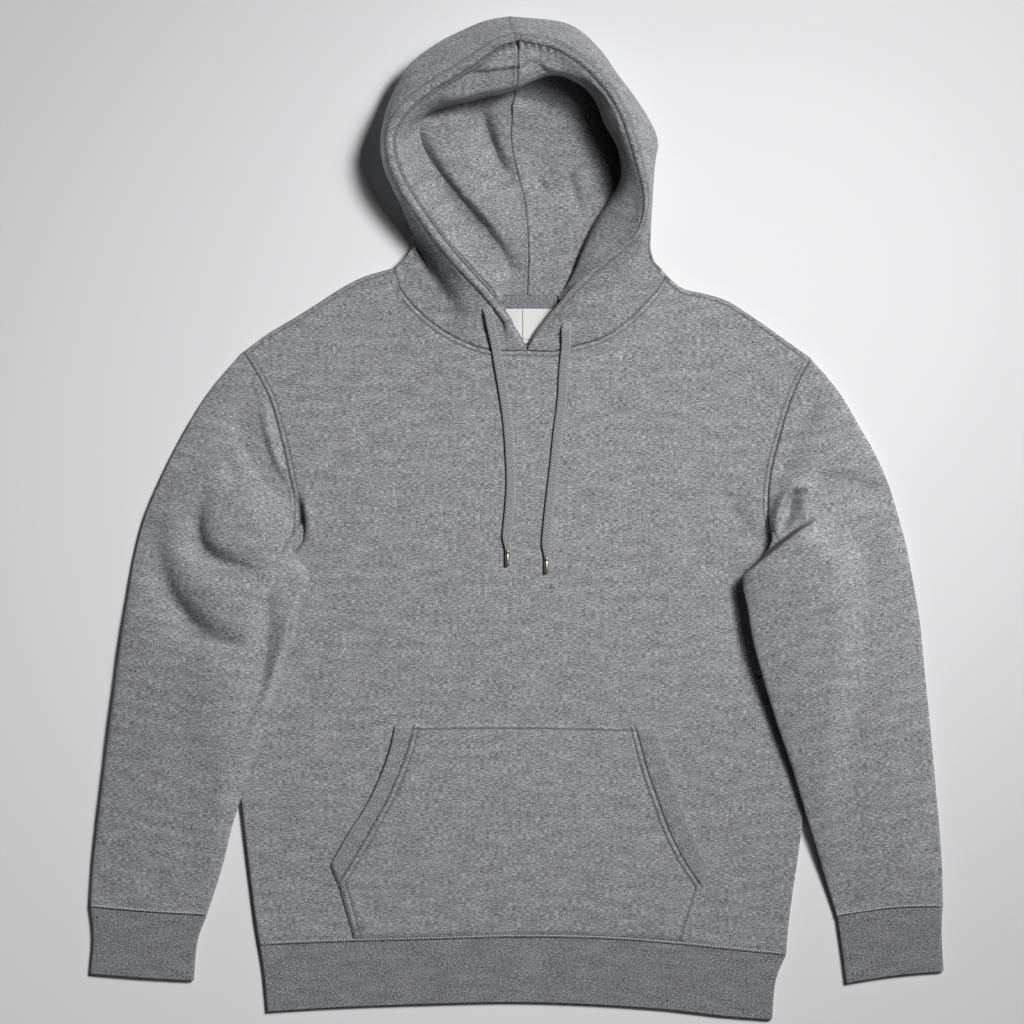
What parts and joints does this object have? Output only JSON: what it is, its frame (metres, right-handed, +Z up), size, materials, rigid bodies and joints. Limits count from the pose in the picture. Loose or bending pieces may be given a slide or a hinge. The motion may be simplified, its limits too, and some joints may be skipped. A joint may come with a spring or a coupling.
{
  "type": "pullover_hoodie",
  "caption": "Grey marl pullover hoodie laid flat face up, with a lined hood spread open, drawcords, a kangaroo pocket and ribbed hem and cuffs; it is worn to keep the body and head warm.",
  "frame": {"origin": "middle of the garment's bounding box, at the height of the flat surface that its back lies on", "axes": "+Z up out of the front of the garment; +Y from the hem towards the hood; +X towards the wearer's own left sleeve"},
  "size_m": [0.853, 1.001, 0.066],
  "materials": {
    "fleece": "matte grey marl brushed fleece knit",
    "rib": "matte darker grey marl rib knit",
    "tape": "matte herringbone woven tape",
    "label": "smooth white woven satin",
    "cord": "matte flat braid, grey marl",
    "metal": "satin metal tube, slightly warm"
  },
  "bodies": {
    "root": {"body_front": "fleece", "body_back": "fleece", "hem_band": "rib", "sleeve_right": "fleece", "sleeve_left": "fleece", "cuff_right": "rib", "cuff_left": "rib", "hood_outer_right": "fleece", "hood_outer_left": "fleece", "hood_lining_right": "fleece", "hood_lining_left": "fleece", "pocket": "fleece", "pocket_rib_right": "rib", "pocket_rib_left": "rib", "neck_tape": "tape", "neck_label": "label", "size_label": "label", "drawcord_right": "cord", "drawcord_left": "cord", "aglet_right": "metal", "aglet_left": "metal"}
  },
  "joints": []
}
